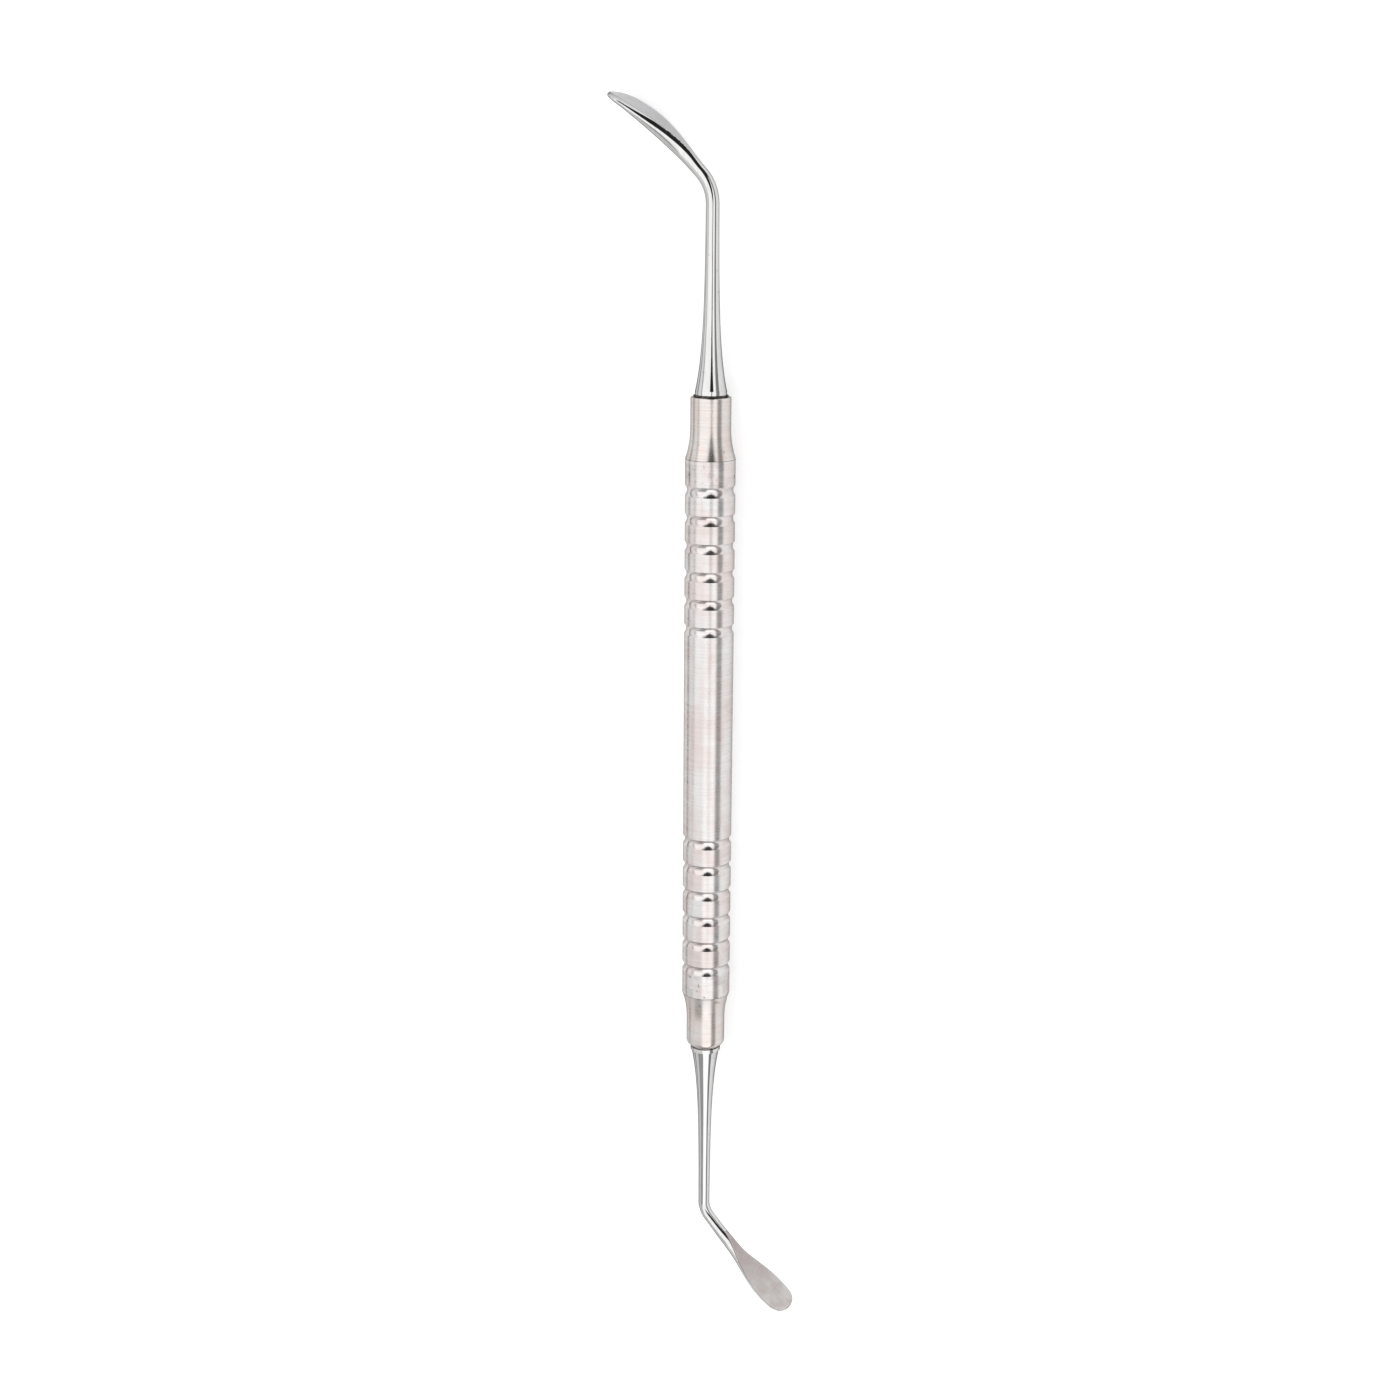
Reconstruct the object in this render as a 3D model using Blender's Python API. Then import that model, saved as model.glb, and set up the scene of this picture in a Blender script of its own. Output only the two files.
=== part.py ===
"""Double-ended hand instrument: a hollow grooved handle, two turned noses and two leaf-shaped blades.

The instrument lies on a flat surface at z = 0 with its long axis along Y and the upper working
end at +Y. The ends bend to opposite sides, and each bend's plane leans a few degrees, so the edge
of the upper blade rests on the surface and the lower blade stands clear of it.
"""
import math

import bmesh
import bpy
from mathutils import Vector

MM = 0.001

# Handle and noses
HANDLE_RADIUS = 3.44 * MM
TUBE_HALF_LENGTH = 38.9 * MM
TUBE_BORE_RADIUS = 2.45 * MM
NOSE_END = 47.2 * MM
NOSE_RADIUS = 2.76 * MM
FLARE_LENGTH = 4.1 * MM
FLARE_STEPS = 8
UPPER_NOSE_EDGE = 0.12 * MM
LOWER_NOSE_EDGE = 0.75 * MM
NOSE_EDGE_STEPS = 5
SPIGOT_LENGTH = 6.0 * MM
TANG_BORE_RADIUS = 1.35 * MM
BORE_CHAMFER = 0.25 * MM
JOINT_GAP = 0.05 * MM
ROUND_SEGMENTS = 56

# Grip grooves, the same set towards each end of the tube
GROOVE_COUNT = 6
FIRST_GROOVE = 15.4 * MM
GROOVE_PITCH = 3.85 * MM
GROOVE_WIDTH = 1.4 * MM
GROOVE_FLOOR = 0.2 * MM
GROOVE_DEPTH = 0.27 * MM
GROOVE_WALL_STEPS = 2

# Seat of a working end in its nose
SEAM_HEIGHT = 0.2 * MM
COLLAR_RADIUS = 2.16 * MM
COLLAR_HEIGHT = 0.56 * MM
TANG_RADIUS = 1.25 * MM
TANG_LENGTH = 11.0 * MM
TANG_CHAMFER = 0.3 * MM
SHANK_FLARE_DECAY = 6.0 * MM
SHANK_SEGMENTS = 32
FLARE_RINGS = 18
BEND_RINGS = 10
BLADE_RINGS = 44

# Headings are measured from the long axis. face_side is 1 for a blade whose flat face is on the
# outside of its bend and -1 for one whose face is on the inside. face_offset moves the section
# outwards from the rod's centre. blade_thickness is half the depth of the whole oval section, and
# edge_share how high above its widest line the face cuts it off, as a share of that. face_run is
# the part of the blade where the face forms, and leaf_run the part where it widens; both are
# fractions of the blade's length. plane_lean turns the plane of the bend about the handle.
UPPER_END = {
    "rod_radius": 0.87 * MM,
    "base_radius": 2.13 * MM,
    "seam_radius": 2.4 * MM,
    "straight_length": 25.0 * MM,
    "bend_radius": 5.5 * MM,
    "plane_lean": math.radians(1.2),
    "blade_heading": math.radians(46.0),
    "tip_heading": math.radians(66.5),
    "blade_length": 16.9 * MM,
    "blade_width": 6.4 * MM,
    "blade_thickness": 1.2 * MM,
    "edge_share": 0.6,
    "face_offset": 0.24 * MM,
    "face_run": (0.0, 0.45),
    "leaf_run": (0.12, 0.76),
    "tip_bluntness": 4.0,
    "face_side": 1.0,
}
LOWER_END = {
    "rod_radius": 0.80 * MM,
    "base_radius": 2.02 * MM,
    "seam_radius": 2.1 * MM,
    "straight_length": 26.0 * MM,
    "bend_radius": 3.0 * MM,
    "plane_lean": math.radians(5.0),
    "blade_heading": math.radians(46.0),
    "tip_heading": math.radians(61.0),
    "blade_length": 17.8 * MM,
    "blade_width": 5.7 * MM,
    "blade_thickness": 1.0 * MM,
    "edge_share": 0.12,
    "face_offset": -0.15 * MM,
    "face_run": (0.16, 0.46),
    "leaf_run": (0.26, 0.78),
    "tip_bluntness": 4.0,
    "face_side": -1.0,
}

# Shape shared by both blades, as fractions of the blade's length
FULL_THICKNESS = 0.4
CURL_POWER = 1.6
TIP_THINNING = 0.5
TIP_EDGE = 0.3
FACE_CROWN = 0.06 * MM

# Base colour and roughness of each kind of metal
SATIN_COLOR = (0.62, 0.60, 0.585)
SATIN_ROUGHNESS = 0.32
TURNED_COLOR = (0.66, 0.64, 0.625)
TURNED_ROUGHNESS = 0.2
POLISHED_COLOR = (0.72, 0.71, 0.70)
POLISHED_ROUGHNESS = 0.08
BRAZE_COLOR = (0.12, 0.115, 0.11)
BRAZE_ROUGHNESS = 0.5


def clear_scene():
    for obj in list(bpy.data.objects):
        bpy.data.objects.remove(obj, do_unlink=True)


def steel(name, color, roughness):
    material = bpy.data.materials.new(name)
    material.use_nodes = True
    shader = material.node_tree.nodes["Principled BSDF"]
    shader.inputs["Base Color"].default_value = (*color, 1.0)
    shader.inputs["Metallic"].default_value = 1.0
    shader.inputs["Roughness"].default_value = roughness
    return material


def add_object(name, bm, material):
    bmesh.ops.recalc_face_normals(bm, faces=bm.faces)
    mesh = bpy.data.meshes.new(name)
    bm.to_mesh(mesh)
    bm.free()
    mesh.materials.append(material)
    mesh.shade_smooth()
    mesh.set_sharp_from_angle(angle=math.radians(32.0))
    obj = bpy.data.objects.new(name, mesh)
    bpy.context.scene.collection.objects.link(obj)
    return obj


def skin(bm, rings, closed_loop):
    """Join neighbouring vertex rings with quads; a closed loop also joins the last to the first."""
    count = len(rings[0])
    pairs = list(zip(rings, rings[1:]))
    if closed_loop:
        pairs.append((rings[-1], rings[0]))
    for ring_a, ring_b in pairs:
        for i in range(count):
            j = (i + 1) % count
            bm.faces.new((ring_a[i], ring_a[j], ring_b[j], ring_b[i]))


def turned_ring(name, outline, material):
    """Turn a closed (radius, y) outline about the Y axis."""
    bm = bmesh.new()
    rings = []
    for radius, y in outline:
        ring = []
        for i in range(ROUND_SEGMENTS):
            angle = 2.0 * math.pi * (i + 0.5) / ROUND_SEGMENTS
            ring.append(bm.verts.new((radius * math.sin(angle), y, radius * math.cos(angle))))
        rings.append(ring)
    skin(bm, rings, closed_loop=True)
    return add_object(name, bm, material)


def groove_centres():
    centres = []
    for k in range(GROOVE_COUNT):
        offset = FIRST_GROOVE + k * GROOVE_PITCH
        centres += [-offset, offset]
    return sorted(centres)


def groove_outline(centre):
    """One groove from its -Y rim to its +Y rim: a rounded channel with a narrow flat floor."""
    rim = GROOVE_WIDTH / 2.0
    run = (GROOVE_WIDTH - GROOVE_FLOOR) / 2.0
    wall = []
    for step in range(GROOVE_WALL_STEPS + 1):
        t = step / GROOVE_WALL_STEPS
        drop = GROOVE_DEPTH * math.sin(t * math.pi / 2.0)
        wall.append((HANDLE_RADIUS - drop, rim - run * t))
    low_wall = [(radius, centre - offset) for radius, offset in wall]
    high_wall = [(radius, centre + offset) for radius, offset in reversed(wall)]
    return low_wall + high_wall


def make_handle_tube(material):
    end = TUBE_HALF_LENGTH - JOINT_GAP / 2.0
    outline = [(HANDLE_RADIUS, -end)]
    for centre in groove_centres():
        outline += groove_outline(centre)
    outline += [(HANDLE_RADIUS, end), (TUBE_BORE_RADIUS, end), (TUBE_BORE_RADIUS, -end)]
    return turned_ring("handle_tube", outline, material)


def flare_outline():
    """Concave arc from the tube's end down to the nose, which it meets smoothly."""
    drop = HANDLE_RADIUS - NOSE_RADIUS
    arc_radius = (FLARE_LENGTH**2 + drop**2) / (2.0 * drop)
    outline = []
    for step in range(FLARE_STEPS + 1):
        away = FLARE_LENGTH * (1.0 - step / FLARE_STEPS)
        rise = arc_radius - math.sqrt(arc_radius**2 - away**2)
        outline.append((NOSE_RADIUS + rise, TUBE_HALF_LENGTH + FLARE_LENGTH - away))
    return outline


def make_nose(name, side, edge_radius, material):
    """A turned nose: its spigot sits in the tube and its bore takes the tang."""
    start = TUBE_HALF_LENGTH + JOINT_GAP / 2.0
    outline = [(HANDLE_RADIUS, start)] + flare_outline()[1:]
    for step in range(NOSE_EDGE_STEPS + 1):
        angle = math.pi / 2.0 * step / NOSE_EDGE_STEPS
        radius = NOSE_RADIUS - edge_radius * (1.0 - math.cos(angle))
        outline.append((radius, NOSE_END - edge_radius * (1.0 - math.sin(angle))))
    spigot_end = TUBE_HALF_LENGTH - SPIGOT_LENGTH
    spigot_radius = TUBE_BORE_RADIUS - JOINT_GAP
    outline.append((TANG_BORE_RADIUS + BORE_CHAMFER, NOSE_END))
    outline.append((TANG_BORE_RADIUS, NOSE_END - BORE_CHAMFER))
    outline.append((TANG_BORE_RADIUS, spigot_end))
    outline.append((spigot_radius, spigot_end))
    outline.append((spigot_radius, start))
    return turned_ring(name, [(radius, side * y) for radius, y in outline], material)


def make_seam_ring(name, side, radius, material):
    """The ring of braze that closes the joint between a nose and its working end."""
    low = side * (NOSE_END + JOINT_GAP)
    high = side * (NOSE_END + JOINT_GAP + SEAM_HEIGHT)
    inner = TANG_RADIUS + JOINT_GAP
    outline = [(radius, low), (radius, high), (inner, high), (inner, low)]
    return turned_ring(name, outline, material)


def smooth_step(value, low=0.0, high=1.0):
    t = min(max((value - low) / (high - low), 0.0), 1.0)
    return t * t * (3.0 - 2.0 * t)


def bend_length(end):
    return end["bend_radius"] * end["blade_heading"]


def centreline(end, along):
    """Place and heading at a distance along the shank and blade, in the plane of the bend.

    It returns the distance out along the handle's axis, the distance across it and the heading.
    """
    if along <= end["straight_length"]:
        return NOSE_END + along, 0.0, 0.0
    bent = min(along - end["straight_length"], bend_length(end))
    heading = bent / end["bend_radius"]
    out = NOSE_END + end["straight_length"] + end["bend_radius"] * math.sin(heading)
    across = end["bend_radius"] * (1.0 - math.cos(heading))
    curl = end["tip_heading"] - end["blade_heading"]
    past_bend = max(along - end["straight_length"] - bend_length(end), 0.0)
    steps = 24
    for k in range(steps):
        t = past_bend * (k + 0.5) / steps / end["blade_length"]
        step_heading = heading + curl * t**CURL_POWER
        out += past_bend / steps * math.cos(step_heading)
        across += past_bend / steps * math.sin(step_heading)
    heading += curl * (past_bend / end["blade_length"]) ** CURL_POWER
    return out, across, heading


def shank_radius(end, above_collar):
    flare = end["base_radius"] - end["rod_radius"]
    return end["rod_radius"] + flare * math.exp(-above_collar / SHANK_FLARE_DECAY)


def blade_section(end, t):
    """Half width, depth, height of the face, crown and offset at a fraction of the blade.

    The section is an oval. The flat face cuts it off above its widest line.
    """
    rod = end["rod_radius"]
    widest = end["leaf_run"][1]
    half_width = rod + (end["blade_width"] / 2.0 - rod) * smooth_step(t, *end["leaf_run"])
    depth = rod + (end["blade_thickness"] - rod) * smooth_step(t, 0.0, FULL_THICKNESS)
    depth *= 1.0 - TIP_THINNING * smooth_step(t, FULL_THICKNESS, 1.0)
    formed = smooth_step(t, *end["face_run"])
    face = depth * (1.0 + (end["edge_share"] - 1.0) * formed)
    tip = 1.0
    if t > widest:
        tip = math.sqrt(1.0 - ((t - widest) / (1.0 - widest)) ** end["tip_bluntness"])
    thin = TIP_EDGE + (1.0 - TIP_EDGE) * tip
    crown = FACE_CROWN * formed
    return half_width * tip, depth * thin, face * thin, crown, end["face_offset"] * formed


def section_ring(bm, side, frame, station, section):
    """One cross-section of a working end: an oval with its top cut off by the face."""
    out, across, heading = station
    half_width, depth, face, crown, offset = section
    ring = []
    for i in range(SHANK_SEGMENTS):
        angle = 2.0 * math.pi * i / SHANK_SEGMENTS
        rise = math.sin(angle)
        lift = min(depth * rise, face + crown * rise)
        height = offset + lift * frame["face_side"]
        point = Vector((0.0, side * (out + height * math.sin(heading)), 0.0))
        point += (across - height * math.cos(heading)) * frame["bend"]
        point += half_width * math.cos(angle) * frame["width"]
        ring.append(bm.verts.new(point))
    return ring


def make_working_end(name, side, end, material):
    """Tang, collar, flared shank, bend and blade as one forging."""
    bend = -side * Vector((math.cos(end["plane_lean"]), 0.0, math.sin(end["plane_lean"])))
    width = Vector((0.0, 1.0, 0.0)).cross(bend)
    frame = {"bend": bend, "width": width, "face_side": end["face_side"]}
    collar_low = 2.0 * JOINT_GAP + SEAM_HEIGHT
    collar_high = collar_low + COLLAR_HEIGHT
    round_sections = [
        (-TANG_LENGTH, TANG_RADIUS - TANG_CHAMFER),
        (TANG_CHAMFER - TANG_LENGTH, TANG_RADIUS),
        (collar_low, TANG_RADIUS),
        (collar_low, COLLAR_RADIUS),
        (collar_high, COLLAR_RADIUS),
    ]
    for k in range(1, FLARE_RINGS + 1):
        above = (end["straight_length"] - collar_high) * (k / FLARE_RINGS) ** 1.6
        round_sections.append((collar_high + above, shank_radius(end, above)))
    for k in range(1, BEND_RINGS + 1):
        along = end["straight_length"] + bend_length(end) * k / BEND_RINGS
        round_sections.append((along, shank_radius(end, along - collar_high)))
    bm = bmesh.new()
    rings = []
    for along, radius in round_sections:
        station = centreline(end, along)
        rings.append(section_ring(bm, side, frame, station, (radius, radius, radius, 0.0, 0.0)))
    blade_start = end["straight_length"] + bend_length(end)
    for k in range(1, BLADE_RINGS):
        t = math.sin(math.pi / 2.0 * k / BLADE_RINGS)
        station = centreline(end, blade_start + end["blade_length"] * t)
        rings.append(section_ring(bm, side, frame, station, blade_section(end, t)))
    skin(bm, rings, closed_loop=False)
    bm.faces.new(rings[0])
    bm.faces.new(reversed(rings[-1]))
    return add_object(name, bm, material)


def settle(pieces):
    """Put the middle of the footprint at the origin and the lowest point on the surface."""
    points = [vertex.co for piece in pieces for vertex in piece.data.vertices]
    low = Vector([min(point[axis] for point in points) for axis in range(3)])
    high = Vector([max(point[axis] for point in points) for axis in range(3)])
    middle = (low + high) / 2.0
    for piece in pieces:
        piece.location = (-middle.x, -middle.y, -low.z)


def main():
    clear_scene()
    pieces = [make_handle_tube(steel("handle_tube", SATIN_COLOR, SATIN_ROUGHNESS))]
    for place, side, end, nose_edge in (
        ("upper", 1.0, UPPER_END, UPPER_NOSE_EDGE),
        ("lower", -1.0, LOWER_END, LOWER_NOSE_EDGE),
    ):
        turned_steel = steel(f"{place}_nose", TURNED_COLOR, TURNED_ROUGHNESS)
        braze = steel(f"{place}_seam_ring", BRAZE_COLOR, BRAZE_ROUGHNESS)
        polished_steel = steel(f"{place}_working_end", POLISHED_COLOR, POLISHED_ROUGHNESS)
        pieces.append(make_nose(f"{place}_nose", side, nose_edge, turned_steel))
        pieces.append(make_seam_ring(f"{place}_seam_ring", side, end["seam_radius"], braze))
        pieces.append(make_working_end(f"{place}_working_end", side, end, polished_steel))
    settle(pieces)


main()
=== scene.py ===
"""Studio scene for a double-ended steel hand instrument that lies on a white table."""
import math

import bmesh
import bpy
from mathutils import Matrix, Vector


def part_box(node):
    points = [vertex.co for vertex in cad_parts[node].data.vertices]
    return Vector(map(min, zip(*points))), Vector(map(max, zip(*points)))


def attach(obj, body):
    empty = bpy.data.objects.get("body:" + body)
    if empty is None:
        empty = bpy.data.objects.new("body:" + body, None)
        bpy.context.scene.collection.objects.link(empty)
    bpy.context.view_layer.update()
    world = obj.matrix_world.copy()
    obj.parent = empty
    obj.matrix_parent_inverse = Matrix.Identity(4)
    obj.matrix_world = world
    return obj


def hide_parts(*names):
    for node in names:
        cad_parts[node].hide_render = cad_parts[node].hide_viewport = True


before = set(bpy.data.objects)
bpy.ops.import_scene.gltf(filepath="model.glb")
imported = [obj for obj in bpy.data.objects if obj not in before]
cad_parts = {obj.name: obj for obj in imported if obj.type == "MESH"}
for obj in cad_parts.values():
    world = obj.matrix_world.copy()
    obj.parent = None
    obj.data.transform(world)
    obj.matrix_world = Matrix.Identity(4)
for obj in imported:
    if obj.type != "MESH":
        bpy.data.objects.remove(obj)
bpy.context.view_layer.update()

MM = 0.001

# Camera: a 50 mm lens on a 36 mm sensor. Angles are about the handle's middle.
LENS = 50.0
SENSOR = 36.0
CAMERA_DISTANCE = 272.0 * MM
CAMERA_SIDE = math.radians(26.8)
CAMERA_RISE = math.radians(15.4)
CAMERA_ROLL = math.radians(0.44)
AIM_ALONG_HANDLE = 5.0 * MM
AIM_ACROSS = 1.16 * MM
CLIP_START = 0.01
CLIP_END = 20.0

# Table. It glows a little, so that it stays white under the instrument's soft shadow.
FLOOR_RADIUS = 3.0
FLOOR_SEGMENTS = 64
FLOOR_DROP = 0.02 * MM
FLOOR_COLOR = (0.55, 0.55, 0.55, 1.0)
FLOOR_ROUGHNESS = 0.9
FLOOR_GLOW = 0.60

# The instrument's sizes, the same as the CAD part's
HANDLE_RADIUS = 3.44 * MM
TUBE_HALF_LENGTH = 38.9 * MM
TUBE_BORE_RADIUS = 2.45 * MM
NOSE_END = 47.2 * MM
NOSE_RADIUS = 2.76 * MM
FLARE_LENGTH = 4.1 * MM
SPIGOT_LENGTH = 6.0 * MM
TANG_BORE_RADIUS = 1.35 * MM
BORE_CHAMFER = 0.25 * MM
JOINT_GAP = 0.05 * MM
GROOVE_COUNT = 6
FIRST_GROOVE = 15.4 * MM
GROOVE_PITCH = 3.85 * MM
GROOVE_WIDTH = 1.4 * MM
GROOVE_FLOOR = 0.2 * MM
GROOVE_DEPTH = 0.27 * MM
SEAM_HEIGHT = 0.2 * MM
COLLAR_RADIUS = 2.16 * MM
COLLAR_HEIGHT = 0.56 * MM
TANG_RADIUS = 1.25 * MM
TANG_LENGTH = 11.0 * MM
TANG_CHAMFER = 0.3 * MM
SHANK_FLARE_DECAY = 6.0 * MM
FULL_THICKNESS = 0.4
CURL_POWER = 1.6
TIP_THINNING = 0.5
TIP_EDGE = 0.3
FACE_CROWN = 0.06 * MM

# A blade's face takes the ground finish where it is formed by more than this share
FACE_THRESHOLD = 0.01

# face_side is 1 for a flat face on the outside of the bend and -1 for one on the inside.
# blade_thickness is half the depth of the whole oval section, and edge_share how high above its
# widest line the face cuts it off. face_run and leaf_run are fractions of the blade's length.
UPPER_END = {
    "rod_radius": 0.87 * MM,
    "base_radius": 2.13 * MM,
    "seam_radius": 2.4 * MM,
    "straight_length": 25.0 * MM,
    "bend_radius": 5.5 * MM,
    "plane_lean": math.radians(1.2),
    "blade_heading": math.radians(46.0),
    "tip_heading": math.radians(66.5),
    "blade_length": 16.9 * MM,
    "blade_width": 6.4 * MM,
    "blade_thickness": 1.2 * MM,
    "edge_share": 0.6,
    "face_offset": 0.24 * MM,
    "face_run": (0.0, 0.45),
    "leaf_run": (0.12, 0.76),
    "tip_bluntness": 4.0,
    "face_side": 1.0,
    "nose_edge": 0.12 * MM,
    "nose_finish": (0.24, 0.30),
}
LOWER_END = {
    "rod_radius": 0.80 * MM,
    "base_radius": 2.02 * MM,
    "seam_radius": 2.1 * MM,
    "straight_length": 26.0 * MM,
    "bend_radius": 3.0 * MM,
    "plane_lean": math.radians(5.0),
    "blade_heading": math.radians(46.0),
    "tip_heading": math.radians(61.0),
    "blade_length": 17.8 * MM,
    "blade_width": 5.7 * MM,
    "blade_thickness": 1.0 * MM,
    "edge_share": 0.12,
    "face_offset": -0.15 * MM,
    "face_run": (0.16, 0.46),
    "leaf_run": (0.26, 0.78),
    "tip_bluntness": 4.0,
    "face_side": -1.0,
    "nose_edge": 0.75 * MM,
    "nose_finish": (0.25, 0.34),
}

# Colours of the metals
SATIN_WARM = (0.700, 0.622, 0.602, 1.0)
SATIN_COOL = (0.630, 0.622, 0.615, 1.0)
TURNED_WARM = (0.690, 0.608, 0.575, 1.0)
TURNED_COOL = (0.620, 0.600, 0.585, 1.0)
POLISHED_COLOR = (0.610, 0.607, 0.603, 1.0)
# In a ground face, "root" is darker than "tip" as painted shade that fades out along the blade;
# "cloud" is the stains' colour.
UPPER_GROUND = {
    "root": (0.430, 0.433, 0.443, 1.0),
    "tip": (0.455, 0.458, 0.468, 1.0),
    "cloud": (0.415, 0.402, 0.406, 1.0),
}
LOWER_GROUND = {
    "root": (0.345, 0.307, 0.302, 1.0),
    "tip": (0.560, 0.545, 0.528, 1.0),
    "cloud": (0.420, 0.362, 0.352, 1.0),
}
# The upper ring's near-black colours are painted shade for the dark gap and dark reflection round
# the collar; the lower ring's are a lighter grey.
UPPER_BRAZE_PAINTED_SHADE = ((0.07, 0.065, 0.06, 1.0), (0.18, 0.17, 0.16, 1.0))
LOWER_BRAZE = ((0.36, 0.34, 0.32, 1.0), (0.48, 0.46, 0.44, 1.0))

# Fineness of the visible meshes. SHANK_CROWDING above 1 puts the shank's rings closer together
# near the collar, and CURL_STEPS is the number of steps in which the blade's curl is summed.
ROUND_SEGMENTS = 160
END_SEGMENTS = 96
GROOVE_STEPS = 8
FLARE_STEPS = 28
NOSE_EDGE_STEPS = 14
LAND_STEP = 1.2 * MM
NOSE_PLAIN_STEPS = 6
SEAM_STEPS = 8
SHANK_RINGS = 70
SHANK_CROWDING = 1.6
BEND_RINGS = 36
BLADE_RINGS = 150
CURL_STEPS = 24
SHARP_ANGLE = math.radians(28.0)


def node_tree(owner):
    owner.use_nodes = True
    tree = owner.node_tree
    tree.nodes.clear()
    return tree


def link(tree, source, target):
    """Connect an output to an input, or set the input if the source is a plain value."""
    if isinstance(source, bpy.types.NodeSocket):
        tree.links.new(source, target)
    else:
        target.default_value = source


def math_node(tree, operation, *values):
    node = tree.nodes.new("ShaderNodeMath")
    node.operation = operation
    for socket, value in zip(node.inputs, values):
        link(tree, value, socket)
    return node.outputs[0]


def smooth_range(tree, value, low, high, start=0.0, end=1.0):
    """Ease from start to end while the value goes from low to high."""
    node = tree.nodes.new("ShaderNodeMapRange")
    node.interpolation_type = "SMOOTHSTEP"
    for name, number in (
        ("Value", value),
        ("From Min", low),
        ("From Max", high),
        ("To Min", start),
        ("To Max", end),
    ):
        link(tree, number, node.inputs[name])
    return node.outputs["Result"]


def band(tree, value, low, high, softness):
    """1 between low and high, 0 outside, with soft ends."""
    rise = smooth_range(tree, value, low - softness, low + softness)
    fall = smooth_range(tree, value, high - softness, high + softness, 1.0, 0.0)
    return math_node(tree, "MULTIPLY", rise, fall)


def mix_color(tree, factor, first, second):
    node = tree.nodes.new("ShaderNodeMix")
    node.data_type = "RGBA"
    link(tree, factor, node.inputs[0])
    link(tree, first, node.inputs[6])
    link(tree, second, node.inputs[7])
    return node.outputs[2]


def grey(level):
    return (level, level, level, 1.0)


# Surroundings, in degrees. "side" is measured round the handle's axis from the camera, positive
# towards the picture's right, and "rise" along the axis towards the upper end. The table hides
# what lies below the horizon. Patches are painted in this order, each over the ones before.
SKY_LEVEL = 1.06
SKY_PATCHES = (
    {"side": (-66.0, 37.0), "rise": (-24.0, 90.0), "soft": (4.0, 7.0), "level": 1.46},
    {"side": (-22.0, 37.0), "rise": (-66.0, -24.0), "soft": (5.0, 7.0), "level": 1.72},
    {"side": (-180.0, -24.0), "rise": (-66.0, -24.0), "soft": (7.0, 6.0), "level": 0.92},
    {"side": (-72.0, -22.0), "rise": (-66.0, -28.5), "soft": (5.0, 2.0), "level": 0.45},
    {"side": (37.0, 180.0), "rise": (-90.0, 90.0), "soft": (5.0, 4.0), "level": 0.32},
    {"side": (37.0, 180.0), "rise": (-23.0, -9.0), "soft": (5.0, 3.0), "level": 0.56},
    {"side": (-180.0, -105.0), "rise": (-90.0, 90.0), "soft": (4.0, 4.0), "level": 0.36},
    {"side": (-77.0, -69.0), "rise": (-13.0, 30.0), "soft": (3.0, 6.0), "level": 0.55},
    {"side": (-180.0, 180.0), "rise": (-90.0, -68.0), "soft": (4.0, 5.0), "level": 0.22},
)

# The dark shape of the camera, a wedge that widens as it rises, and of the shoulders above it.
WEDGE_SIDE = 5.0
WEDGE_FOOT = -17.0
WEDGE_SPREAD = 0.45
SHOULDER_FOOT = 33.0
SHOULDER_SPREAD = 2.4
SHOULDER_HALF_WIDTH = 55.0
WEDGE_SOFTNESS = 4.0
WEDGE_LEVEL = 0.03


def wedge_mask(tree, side, rise):
    """1 inside the dark shape of the camera and the shoulders, 0 outside."""
    above_foot = math_node(tree, "SUBTRACT", rise, WEDGE_FOOT)
    camera = math_node(tree, "MULTIPLY", above_foot, WEDGE_SPREAD)
    above_shoulder = math_node(tree, "SUBTRACT", rise, SHOULDER_FOOT)
    shoulder = math_node(tree, "MULTIPLY", above_shoulder, SHOULDER_SPREAD)
    shoulder = math_node(tree, "MINIMUM", shoulder, SHOULDER_HALF_WIDTH)
    half_width = math_node(tree, "MAXIMUM", camera, shoulder)
    away = math_node(tree, "ABSOLUTE", math_node(tree, "SUBTRACT", side, WEDGE_SIDE))
    inside = math_node(tree, "SUBTRACT", half_width, away)
    return smooth_range(tree, inside, 0.0, WEDGE_SOFTNESS)


def build_world():
    """The surroundings that the metal reflects. The camera itself sees plain white behind."""
    world = bpy.data.worlds.new("studio")
    bpy.context.scene.world = world
    tree = node_tree(world)
    direction = tree.nodes.new("ShaderNodeTexCoord").outputs["Generated"]
    turn = tree.nodes.new("ShaderNodeVectorRotate")
    turn.rotation_type = "Y_AXIS"
    link(tree, direction, turn.inputs["Vector"])
    link(tree, -CAMERA_SIDE, turn.inputs["Angle"])
    split = tree.nodes.new("ShaderNodeSeparateXYZ")
    link(tree, turn.outputs[0], split.inputs[0])
    x, y, z = split.outputs
    side = math_node(tree, "DEGREES", math_node(tree, "ARCTAN2", x, z))
    rise = math_node(tree, "DEGREES", math_node(tree, "ARCSINE", y))
    color = grey(SKY_LEVEL)
    for patch in SKY_PATCHES:
        across = band(tree, side, *patch["side"], patch["soft"][0])
        along = band(tree, rise, *patch["rise"], patch["soft"][1])
        mask = math_node(tree, "MULTIPLY", across, along)
        color = mix_color(tree, mask, color, grey(patch["level"]))
    color = mix_color(tree, wedge_mask(tree, side, rise), color, grey(WEDGE_LEVEL))
    seen = tree.nodes.new("ShaderNodeLightPath").outputs["Is Camera Ray"]
    color = mix_color(tree, seen, color, grey(1.0))
    background = tree.nodes.new("ShaderNodeBackground")
    link(tree, color, background.inputs["Color"])
    output = tree.nodes.new("ShaderNodeOutputWorld")
    link(tree, background.outputs[0], output.inputs["Surface"])


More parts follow.
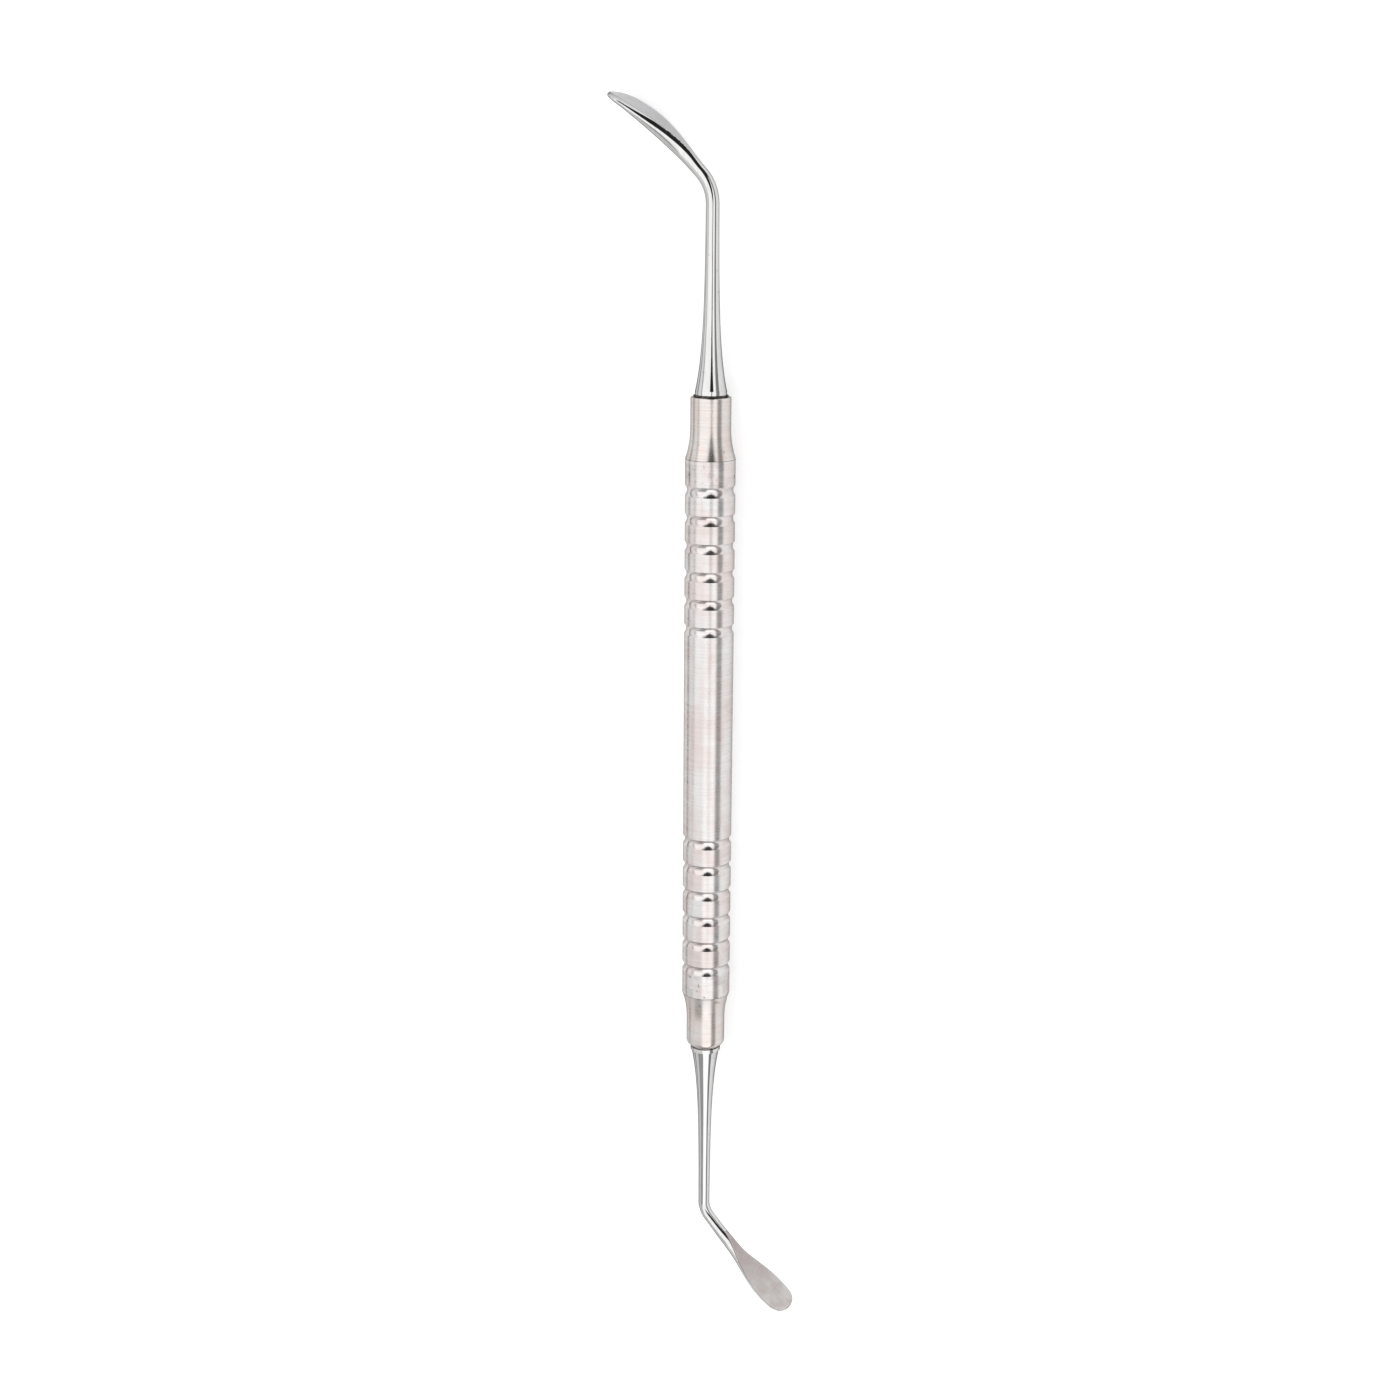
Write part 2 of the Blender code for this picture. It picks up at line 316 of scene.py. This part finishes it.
def build_floor():
    bpy.ops.mesh.primitive_circle_add(
        vertices=FLOOR_SEGMENTS,
        radius=FLOOR_RADIUS,
        fill_type="NGON",
        location=(0.0, 0.0, -FLOOR_DROP),
    )
    floor = bpy.context.object
    floor.name = "table"
    material = bpy.data.materials.new("table")
    tree = node_tree(material)
    shader = tree.nodes.new("ShaderNodeBsdfPrincipled")
    shader.inputs["Base Color"].default_value = FLOOR_COLOR
    shader.inputs["Roughness"].default_value = FLOOR_ROUGHNESS
    shader.inputs["Emission Color"].default_value = grey(1.0)
    shader.inputs["Emission Strength"].default_value = FLOOR_GLOW
    output = tree.nodes.new("ShaderNodeOutputMaterial")
    link(tree, shader.outputs[0], output.inputs["Surface"])
    floor.data.materials.append(material)


def build_camera():
    low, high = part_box("handle_tube")
    aim = (Vector(low) + Vector(high)) / 2.0 + Vector((0.0, AIM_ALONG_HANDLE, 0.0))
    back = Vector(
        (
            math.cos(CAMERA_RISE) * math.sin(CAMERA_SIDE),
            math.sin(CAMERA_RISE),
            math.cos(CAMERA_RISE) * math.cos(CAMERA_SIDE),
        )
    )
    level_up = (Vector((0.0, 1.0, 0.0)) - back.y * back).normalized()
    level_right = level_up.cross(back)
    up = level_up * math.cos(CAMERA_ROLL) - level_right * math.sin(CAMERA_ROLL)
    right = up.cross(back)
    data = bpy.data.cameras.new("camera")
    data.lens = LENS
    data.sensor_width = SENSOR
    data.clip_start = CLIP_START
    data.clip_end = CLIP_END
    camera = bpy.data.objects.new("camera", data)
    bpy.context.scene.collection.objects.link(camera)
    place = aim + back * CAMERA_DISTANCE - right * AIM_ACROSS
    turn = Matrix((right, up, back)).transposed().to_4x4()
    camera.matrix_world = Matrix.Translation(place) @ turn
    bpy.context.scene.camera = camera


# A noise hardly leaves this range
NOISE_MIDDLE = (0.32, 0.68)


def noise(tree, place, scale, detail):
    """Noise with its own scale along each axis, in features per unit of the place."""
    mapping = tree.nodes.new("ShaderNodeMapping")
    mapping.vector_type = "POINT"
    link(tree, place, mapping.inputs["Vector"])
    link(tree, scale, mapping.inputs["Scale"])
    node = tree.nodes.new("ShaderNodeTexNoise")
    link(tree, mapping.outputs[0], node.inputs["Vector"])
    link(tree, 1.0, node.inputs["Scale"])
    link(tree, detail, node.inputs["Detail"])
    return node.outputs["Fac"]


def spread(tree, value, low, high):
    """The middle of a noise stretched to run from low to high."""
    return smooth_range(tree, value, *NOISE_MIDDLE, low, high)


def attribute(tree, name):
    node = tree.nodes.new("ShaderNodeAttribute")
    node.attribute_name = name
    return node.outputs["Fac"]


def object_place(tree):
    """The place in the piece's own frame, in metres, and its distance along the handle."""
    place = tree.nodes.new("ShaderNodeTexCoord").outputs["Object"]
    split = tree.nodes.new("ShaderNodeSeparateXYZ")
    link(tree, place, split.inputs[0])
    return place, split.outputs[1]


def darken(tree, color, factor):
    """Multiply a colour by a grey factor."""
    node = tree.nodes.new("ShaderNodeVectorMath")
    node.operation = "SCALE"
    link(tree, color[:3] if isinstance(color, tuple) else color, node.inputs[0])
    link(tree, factor, node.inputs["Scale"])
    return node.outputs[0]


# Noise scales, as features in a metre of x, y and z. Rings lie close together along the handle
# (y), and scratches and wiping marks run along it. GRIND is in features round the section and in
# a millimetre along it.
GRIP_FINE_RINGS = (160.0, 7500.0, 160.0)
GRIP_BROAD_RINGS = (260.0, 1900.0, 260.0)
GRIP_MOTTLE = (420.0, 260.0, 420.0)
GRIP_SCRATCHES = (5200.0, 130.0, 5200.0)
GRIP_SPOTS = (1150.0, 800.0, 1150.0)
GRIP_STAINS = (520.0, 420.0, 520.0)
NOSE_FINE_RINGS = (120.0, 6000.0, 120.0)
NOSE_MOTTLE = (380.0, 300.0, 380.0)
NOSE_SPOTS = (900.0, 900.0, 900.0)
WIPES = (2600.0, 220.0, 2600.0)
PITS = (1500.0, 1500.0, 1500.0)
FACE_CLOUDS = (420.0, 420.0, 420.0)
FACE_GRAIN = (6000.0, 6000.0, 6000.0)
GRIND = (7.0, 5.0, 1.0)
BRAZE_LUMPS = (1600.0, 1600.0, 1600.0)

# Where the handling marks lie, as distances along the handle from its middle
GRIP_MARKS_FADE_IN = (33.5 * MM, 37.0 * MM)
NOSE_MARKS_FADE_OUT = (40.0 * MM, 42.5 * MM)

# A blade's face, in millimetres: how far past the nose its painted shade fades out towards the tip,
# and how far in from its edge the painted shade along the edge ends and the thin painted highlight
# lies
PAINTED_SHADE_FADE_RUN = (31.0, 46.0)
PAINTED_EDGE_SHADE_RUN = (0.06, 0.18)
PAINTED_EDGE_SHADE = 0.55
PAINTED_HIGHLIGHT_RUN = (0.2, 0.32)
PAINTED_HIGHLIGHT_SOFTNESS = 0.05
PAINTED_HIGHLIGHT_LIFT = 0.14

# How much less rough the grooves are than the rest of the grip
GROOVE_POLISH = 0.06

# Turns the anisotropy from along the UV's tangent to across it, as a share of a full turn
QUARTER_TURN = 0.25


def metal(name, anisotropy, rim_tint):
    """A metal shader whose grey rim tint darkens its reflections at the rims, as painted shade.
    Grooves run round the piece if it is anisotropic.
    """
    material = bpy.data.materials.new(name)
    tree = node_tree(material)
    shader = tree.nodes.new("ShaderNodeBsdfPrincipled")
    shader.inputs["Metallic"].default_value = 1.0
    shader.inputs["Specular Tint"].default_value = grey(rim_tint)
    shader.inputs["Anisotropic"].default_value = anisotropy
    if anisotropy:
        shader.inputs["Anisotropic Rotation"].default_value = QUARTER_TURN
        tangent = tree.nodes.new("ShaderNodeTangent")
        tangent.direction_type = "UV_MAP"
        tangent.uv_map = "along"
        link(tree, tangent.outputs[0], shader.inputs["Tangent"])
    output = tree.nodes.new("ShaderNodeOutputMaterial")
    link(tree, shader.outputs[0], output.inputs["Surface"])
    return material, tree, shader


def add_bump(tree, shader, height, depth):
    """Relief that is "depth" metres deep where the height goes from 0 to 1."""
    bump = tree.nodes.new("ShaderNodeBump")
    link(tree, depth, bump.inputs["Distance"])
    link(tree, height, bump.inputs["Height"])
    link(tree, bump.outputs[0], shader.inputs["Normal"])


def satin_material():
    """The grip: fine rings from turning, a warm mottle, handling marks near the joints."""
    material, tree, shader = metal("satin_steel", anisotropy=0.75, rim_tint=0.5)
    place, along = object_place(tree)
    fine_rings = noise(tree, place, GRIP_FINE_RINGS, detail=2.0)
    broad_rings = noise(tree, place, GRIP_BROAD_RINGS, detail=3.0)
    mottle = noise(tree, place, GRIP_MOTTLE, detail=4.0)
    scratches = noise(tree, place, GRIP_SCRATCHES, detail=2.0)
    spots = noise(tree, place, GRIP_SPOTS, detail=2.0)
    stains = noise(tree, place, GRIP_STAINS, detail=2.0)
    color = mix_color(tree, spread(tree, mottle, 0.0, 1.0), SATIN_WARM, SATIN_COOL)
    color = darken(tree, color, spread(tree, mottle, 0.93, 1.07))
    color = darken(tree, color, spread(tree, fine_rings, 0.955, 1.045))
    color = darken(tree, color, spread(tree, broad_rings, 0.955, 1.045))
    color = darken(tree, color, smooth_range(tree, scratches, 0.66, 0.74, start=1.0, end=0.88))
    near_joint = smooth_range(tree, math_node(tree, "ABSOLUTE", along), *GRIP_MARKS_FADE_IN)
    stain = math_node(tree, "MULTIPLY", smooth_range(tree, stains, 0.52, 0.60), near_joint)
    color = darken(tree, color, smooth_range(tree, stain, 0.0, 1.0, start=1.0, end=0.86))
    spot = math_node(tree, "MULTIPLY", smooth_range(tree, spots, 0.62, 0.70), near_joint)
    color = darken(tree, color, smooth_range(tree, spot, 0.0, 1.0, start=1.0, end=0.52))
    link(tree, color, shader.inputs["Base Color"])
    rough = spread(tree, broad_rings, 0.25, 0.33)
    groove_polish = math_node(tree, "MULTIPLY", attribute(tree, "polish"), GROOVE_POLISH)
    link(tree, math_node(tree, "SUBTRACT", rough, groove_polish), shader.inputs["Roughness"])
    add_bump(tree, shader, fine_rings, 0.0025 * MM)
    return material


def turned_material(name, finish):
    """A nose: brighter turning with crisper reflections and a few handling marks."""
    material, tree, shader = metal(name, anisotropy=0.6, rim_tint=0.4)
    place, along = object_place(tree)
    fine_rings = noise(tree, place, NOSE_FINE_RINGS, detail=2.0)
    mottle = noise(tree, place, NOSE_MOTTLE, detail=4.0)
    spots = noise(tree, place, NOSE_SPOTS, detail=2.0)
    color = mix_color(tree, spread(tree, mottle, 0.0, 1.0), TURNED_WARM, TURNED_COOL)
    color = darken(tree, color, spread(tree, mottle, 0.94, 1.06))
    color = darken(tree, color, spread(tree, fine_rings, 0.95, 1.05))
    from_middle = math_node(tree, "ABSOLUTE", along)
    near_joint = smooth_range(tree, from_middle, *NOSE_MARKS_FADE_OUT, start=1.0, end=0.0)
    spot = math_node(tree, "MULTIPLY", smooth_range(tree, spots, 0.64, 0.70), near_joint)
    color = darken(tree, color, smooth_range(tree, spot, 0.0, 1.0, start=1.0, end=0.7))
    link(tree, color, shader.inputs["Base Color"])
    link(tree, spread(tree, mottle, *finish), shader.inputs["Roughness"])
    add_bump(tree, shader, fine_rings, 0.002 * MM)
    return material


def polished_material(name):
    """Mirror polish with faint wiping marks along the shank."""
    material, tree, shader = metal(name, anisotropy=0.0, rim_tint=0.1)
    place = object_place(tree)[0]
    wipes = noise(tree, place, WIPES, detail=3.0)
    pits = noise(tree, place, PITS, detail=2.0)
    color = darken(tree, POLISHED_COLOR, spread(tree, wipes, 0.96, 1.04))
    color = darken(tree, color, smooth_range(tree, pits, 0.68, 0.74, start=1.0, end=0.8))
    link(tree, color, shader.inputs["Base Color"])
    link(tree, spread(tree, wipes, 0.045, 0.09), shader.inputs["Roughness"])
    add_bump(tree, shader, wipes, 0.0012 * MM)
    return material


def ground_material(name, colors):
    """A blade's face: satin, with fine grinding lines across it, cloudy stains, painted shade near
    its root and along its edge, and a thin painted highlight just inside the edge.
    """
    material, tree, shader = metal(name, anisotropy=0.0, rim_tint=1.0)
    place = object_place(tree)[0]
    clouds = noise(tree, place, FACE_CLOUDS, detail=3.0)
    grain = noise(tree, place, FACE_GRAIN, detail=2.0)
    along = tree.nodes.new("ShaderNodeUVMap")
    along.uv_map = "along"
    split = tree.nodes.new("ShaderNodeSeparateXYZ")
    link(tree, along.outputs[0], split.inputs[0])
    grind = noise(tree, along.outputs[0], GRIND, detail=3.0)
    # Painted shade: the face darker at its root, lighter towards the tip
    painted_shade_fade = smooth_range(tree, split.outputs[1], *PAINTED_SHADE_FADE_RUN)
    color = mix_color(tree, painted_shade_fade, colors["root"], colors["tip"])
    color = mix_color(tree, spread(tree, clouds, 0.0, 0.75), color, colors["cloud"])
    color = darken(tree, color, spread(tree, grind, 0.96, 1.04))
    inset = attribute(tree, "inset")
    # Painted shade along the face's edge, then a painted highlight in a thin line just inside it
    outline = smooth_range(tree, inset, *PAINTED_EDGE_SHADE_RUN, start=PAINTED_EDGE_SHADE, end=1.0)
    color = darken(tree, color, outline)
    edge_highlight = band(tree, inset, *PAINTED_HIGHLIGHT_RUN, PAINTED_HIGHLIGHT_SOFTNESS)
    color = darken(tree, color, math_node(tree, "MULTIPLY_ADD", edge_highlight, PAINTED_HIGHLIGHT_LIFT, 1.0))
    link(tree, color, shader.inputs["Base Color"])
    link(tree, spread(tree, grain, 0.30, 0.40), shader.inputs["Roughness"])
    add_bump(tree, shader, grind, 0.003 * MM)
    return material


def braze_and_painted_shade_material(name, colors):
    """Filler metal, slightly lumpy. The upper ring's near-black colours are painted shade for the
    dark gap round the collar.
    """
    material, tree, shader = metal(name, anisotropy=0.0, rim_tint=0.3)
    place = object_place(tree)[0]
    lumps = noise(tree, place, BRAZE_LUMPS, detail=4.0)
    color = mix_color(tree, spread(tree, lumps, 0.0, 1.0), *colors)
    link(tree, color, shader.inputs["Base Color"])
    link(tree, spread(tree, lumps, 0.35, 0.6), shader.inputs["Roughness"])
    add_bump(tree, shader, lumps, 0.02 * MM)
    return material


def handle_axis():
    """The middle of the handle, which every piece is built about."""
    low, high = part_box("handle_tube")
    return (Vector(low) + Vector(high)) / 2.0


def finish_mesh(name, bm, materials, node):
    """Turn a bmesh into a smooth piece that stands for a CAD node."""
    bmesh.ops.recalc_face_normals(bm, faces=bm.faces)
    mesh = bpy.data.meshes.new(name)
    bm.to_mesh(mesh)
    bm.free()
    for material in materials:
        mesh.materials.append(material)
    mesh.shade_smooth()
    mesh.set_sharp_from_angle(angle=SHARP_ANGLE)
    piece = bpy.data.objects.new(name, mesh)
    bpy.context.scene.collection.objects.link(piece)
    piece.location = handle_axis()
    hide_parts(node)
    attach(piece, "root")
    return piece


def skin(bm, rings, closed_loop, uv_layer, lengths):
    """Join neighbouring vertex rings with quads, with UVs round and along the piece."""
    count = len(rings[0])
    pairs = list(zip(range(len(rings)), range(1, len(rings))))
    if closed_loop:
        pairs.append((len(rings) - 1, 0))
    for a, b in pairs:
        for i in range(count):
            j = (i + 1) % count
            face = bm.faces.new((rings[a][i], rings[a][j], rings[b][j], rings[b][i]))
            corners = ((i, a), (i + 1, a), (i + 1, b), (i, b))
            for loop, (around, ring) in zip(face.loops, corners):
                loop[uv_layer].uv = (around / count, lengths[ring])


def turned_piece(name, outline, material):
    """Turn a closed outline of (radius, y, polish) points about the handle's axis."""
    bm = bmesh.new()
    uv_layer = bm.loops.layers.uv.new("along")
    polish_layer = bm.verts.layers.float.new("polish")
    rings = []
    for radius, y, polish in outline:
        ring = []
        for i in range(ROUND_SEGMENTS):
            angle = 2.0 * math.pi * i / ROUND_SEGMENTS
            vertex = bm.verts.new((radius * math.sin(angle), y, radius * math.cos(angle)))
            vertex[polish_layer] = polish
            ring.append(vertex)
        rings.append(ring)
    lengths = [0.0]
    for before, after in zip(outline, outline[1:]):
        lengths.append(lengths[-1] + math.dist(before[:2], after[:2]) / MM)
    skin(bm, rings, True, uv_layer, lengths)
    return finish_mesh(name + "_visual", bm, [material], name)


def groove_centres():
    centres = []
    for k in range(GROOVE_COUNT):
        offset = FIRST_GROOVE + k * GROOVE_PITCH
        centres += [-offset, offset]
    return sorted(centres)


def groove_outline(centre):
    """A groove with a short flat floor and walls that curve up to the tube's surface."""
    rim = GROOVE_WIDTH / 2.0
    run = (GROOVE_WIDTH - GROOVE_FLOOR) / 2.0
    wall = []
    for step in range(GROOVE_STEPS + 1):
        t = step / GROOVE_STEPS
        drop = GROOVE_DEPTH * math.sin(t * math.pi / 2.0)
        wall.append((HANDLE_RADIUS - drop, rim - run * t, 0.0 if step == 0 else 1.0))
    low_wall = [(radius, centre - offset, polish) for radius, offset, polish in wall]
    high_wall = [(radius, centre + offset, polish) for radius, offset, polish in reversed(wall)]
    return low_wall + high_wall


def land_outline(start, end):
    """Points along a plain stretch of the tube, so that its faces stay short."""
    steps = max(1, round((end - start) / LAND_STEP))
    return [(HANDLE_RADIUS, start + (end - start) * k / steps, 0.0) for k in range(1, steps)]


def build_handle_tube(material):
    end = TUBE_HALF_LENGTH - JOINT_GAP / 2.0
    outline = [(HANDLE_RADIUS, -end, 0.0)]
    for centre in groove_centres():
        outline += land_outline(outline[-1][1], centre - GROOVE_WIDTH / 2.0)
        outline += groove_outline(centre)
    outline += land_outline(outline[-1][1], end)
    outline.append((HANDLE_RADIUS, end, 0.0))
    outline.append((TUBE_BORE_RADIUS, end, 0.0))
    outline.append((TUBE_BORE_RADIUS, -end, 0.0))
    return turned_piece("handle_tube", outline, material)


def flare_outline():
    """Concave arc from the tube's end down to the nose, which it meets smoothly."""
    drop = HANDLE_RADIUS - NOSE_RADIUS
    arc_radius = (FLARE_LENGTH**2 + drop**2) / (2.0 * drop)
    outline = []
    for step in range(FLARE_STEPS + 1):
        away = FLARE_LENGTH * (1.0 - step / FLARE_STEPS)
        rise = arc_radius - math.sqrt(arc_radius**2 - away**2)
        outline.append((NOSE_RADIUS + rise, TUBE_HALF_LENGTH + FLARE_LENGTH - away))
    return outline


def build_nose(place, side, end, material):
    start = TUBE_HALF_LENGTH + JOINT_GAP / 2.0
    edge = end["nose_edge"]
    outline = [(HANDLE_RADIUS, start)] + flare_outline()[1:]
    flare_end = outline[-1][1]
    plain = NOSE_END - edge - flare_end
    for k in range(1, NOSE_PLAIN_STEPS):
        outline.append((NOSE_RADIUS, flare_end + plain * k / NOSE_PLAIN_STEPS))
    for step in range(NOSE_EDGE_STEPS + 1):
        angle = math.pi / 2.0 * step / NOSE_EDGE_STEPS
        radius = NOSE_RADIUS - edge * (1.0 - math.cos(angle))
        outline.append((radius, NOSE_END - edge * (1.0 - math.sin(angle))))
    spigot_end = TUBE_HALF_LENGTH - SPIGOT_LENGTH
    spigot_radius = TUBE_BORE_RADIUS - JOINT_GAP
    outline.append((TANG_BORE_RADIUS + BORE_CHAMFER, NOSE_END))
    outline.append((TANG_BORE_RADIUS, NOSE_END - BORE_CHAMFER))
    outline.append((TANG_BORE_RADIUS, spigot_end))
    outline.append((spigot_radius, spigot_end))
    outline.append((spigot_radius, start))
    points = [(radius, side * y, 1.0) for radius, y in outline]
    return turned_piece(f"{place}_nose", points, material)


def build_seam_ring(place, side, end, material):
    """Braze between the nose and the collar, with a bulged outer edge."""
    low = NOSE_END + JOINT_GAP
    inner = TANG_RADIUS + JOINT_GAP
    bulge = SEAM_HEIGHT / 2.0
    outline = [(inner, low)]
    for step in range(SEAM_STEPS + 1):
        angle = math.pi * (step / SEAM_STEPS - 0.5)
        radius = end["seam_radius"] - bulge * (1.0 - math.cos(angle))
        outline.append((radius, low + bulge * (1.0 + math.sin(angle))))
    outline.append((inner, low + SEAM_HEIGHT))
    points = [(radius, side * y, 0.0) for radius, y in outline]
    return turned_piece(f"{place}_seam_ring", points, material)


def smooth_step(value, low=0.0, high=1.0):
    t = min(max((value - low) / (high - low), 0.0), 1.0)
    return t * t * (3.0 - 2.0 * t)


def bend_length(end):
    return end["bend_radius"] * end["blade_heading"]


def centreline(end, along):
    """Distance out along the handle's axis, distance across it, and heading, at a length."""
    if along <= end["straight_length"]:
        return NOSE_END + along, 0.0, 0.0
    bent = min(along - end["straight_length"], bend_length(end))
    heading = bent / end["bend_radius"]
    out = NOSE_END + end["straight_length"] + end["bend_radius"] * math.sin(heading)
    across = end["bend_radius"] * (1.0 - math.cos(heading))
    curl = end["tip_heading"] - end["blade_heading"]
    past_bend = max(along - end["straight_length"] - bend_length(end), 0.0)
    for k in range(CURL_STEPS):
        t = past_bend * (k + 0.5) / CURL_STEPS / end["blade_length"]
        step_heading = heading + curl * t**CURL_POWER
        out += past_bend / CURL_STEPS * math.cos(step_heading)
        across += past_bend / CURL_STEPS * math.sin(step_heading)
    heading += curl * (past_bend / end["blade_length"]) ** CURL_POWER
    return out, across, heading


def shank_radius(end, above_collar):
    flare = end["base_radius"] - end["rod_radius"]
    return end["rod_radius"] + flare * math.exp(-above_collar / SHANK_FLARE_DECAY)


def blade_section(end, t):
    """Half width, depth, height of the face, offset and how far the face is formed.

    The section is an oval. The flat face cuts it off above its widest line.
    """
    rod = end["rod_radius"]
    widest = end["leaf_run"][1]
    half_width = rod + (end["blade_width"] / 2.0 - rod) * smooth_step(t, *end["leaf_run"])
    depth = rod + (end["blade_thickness"] - rod) * smooth_step(t, 0.0, FULL_THICKNESS)
    depth *= 1.0 - TIP_THINNING * smooth_step(t, FULL_THICKNESS, 1.0)
    formed = smooth_step(t, *end["face_run"])
    face = depth * (1.0 + (end["edge_share"] - 1.0) * formed)
    tip = 1.0
    if t > widest:
        tip = math.sqrt(1.0 - ((t - widest) / (1.0 - widest)) ** end["tip_bluntness"])
    thin = TIP_EDGE + (1.0 - TIP_EDGE) * tip
    return half_width * tip, depth * thin, face * thin, end["face_offset"] * formed, formed


def section_ring(bm, side, frame_of_end, station, section, layers, to_tip):
    """One cross-section of a working end: an oval with its top cut off by the face.

    "ground" marks the face, and "inset" is the distance from the face's edge in millimetres.
    """
    out, across, heading = station
    half_width, depth, face, offset, formed = section
    face_width = half_width * math.sqrt(1.0 - (face / depth) ** 2)
    ring = []
    for i in range(END_SEGMENTS):
        angle = 2.0 * math.pi * i / END_SEGMENTS
        rise = math.sin(angle)
        lift = min(depth * rise, face + FACE_CROWN * formed * rise)
        height = offset + lift * frame_of_end["face_side"]
        point = Vector((0.0, side * (out + height * math.sin(heading)), 0.0))
        point += (across - height * math.cos(heading)) * frame_of_end["bend"]
        point += half_width * math.cos(angle) * frame_of_end["width"]
        vertex = bm.verts.new(point)
        inset = min(face_width - half_width * abs(math.cos(angle)), to_tip)
        vertex[layers["ground"]] = formed if depth * rise > face else 0.0
        vertex[layers["inset"]] = max(inset, 0.0) / MM
        ring.append(vertex)
    return ring


def working_end_sections(end):
    """Pairs of a length along the centreline and a section, from the tang's end to the tip."""
    collar_low = 2.0 * JOINT_GAP + SEAM_HEIGHT
    collar_high = collar_low + COLLAR_HEIGHT
    stations = [
        (-TANG_LENGTH, TANG_RADIUS - TANG_CHAMFER),
        (TANG_CHAMFER - TANG_LENGTH, TANG_RADIUS),
        (collar_low, TANG_RADIUS),
        (collar_low, COLLAR_RADIUS),
        (collar_high, COLLAR_RADIUS),
    ]
    for k in range(SHANK_RINGS + 1):
        above = (end["straight_length"] - collar_high) * (k / SHANK_RINGS) ** SHANK_CROWDING
        stations.append((collar_high + above, shank_radius(end, above)))
    for k in range(1, BEND_RINGS + 1):
        along = end["straight_length"] + bend_length(end) * k / BEND_RINGS
        stations.append((along, shank_radius(end, along - collar_high)))
    sections = [(along, (radius, radius, radius, 0.0, 0.0)) for along, radius in stations]
    blade_start = end["straight_length"] + bend_length(end)
    for k in range(1, BLADE_RINGS):
        t = math.sin(math.pi / 2.0 * k / BLADE_RINGS)
        sections.append((blade_start + end["blade_length"] * t, blade_section(end, t)))
    return sections


def build_working_end(place, side, end, materials):
    """Tang, collar, flared shank, bend and blade as one forging."""
    bend = -side * Vector((math.cos(end["plane_lean"]), 0.0, math.sin(end["plane_lean"])))
    width = Vector((0.0, 1.0, 0.0)).cross(bend)
    frame_of_end = {"bend": bend, "width": width, "face_side": end["face_side"]}
    tip = end["straight_length"] + bend_length(end) + end["blade_length"]
    bm = bmesh.new()
    uv_layer = bm.loops.layers.uv.new("along")
    layers = {name: bm.verts.layers.float.new(name) for name in ("ground", "inset")}
    rings = []
    lengths = []
    for along, section in working_end_sections(end):
        station = centreline(end, along)
        ring = section_ring(bm, side, frame_of_end, station, section, layers, tip - along)
        rings.append(ring)
        lengths.append(along / MM)
    skin(bm, rings, False, uv_layer, lengths)
    bm.faces.new(rings[0])
    bm.faces.new(reversed(rings[-1]))
    for polygon in bm.faces:
        if min(vertex[layers["ground"]] for vertex in polygon.verts) > FACE_THRESHOLD:
            polygon.material_index = 1
    name = f"{place}_working_end"
    return finish_mesh(name + "_visual", bm, materials, name)


def build_instrument():
    build_handle_tube(satin_material())
    for place, side, end, ground, braze_and_painted_shade in (
        ("upper", 1.0, UPPER_END, UPPER_GROUND, UPPER_BRAZE_PAINTED_SHADE),
        ("lower", -1.0, LOWER_END, LOWER_GROUND, LOWER_BRAZE),
    ):
        build_nose(place, side, end, turned_material(f"{place}_turned", end["nose_finish"]))
        build_seam_ring(place, side, end, braze_and_painted_shade_material(f"{place}_braze", braze_and_painted_shade))
        polished = polished_material(f"{place}_polished")
        face = ground_material(f"{place}_ground", ground)
        build_working_end(place, side, end, [polished, face])


build_world()
build_floor()
build_camera()
build_instrument()

bpy.context.scene.view_settings.view_transform = "Standard"
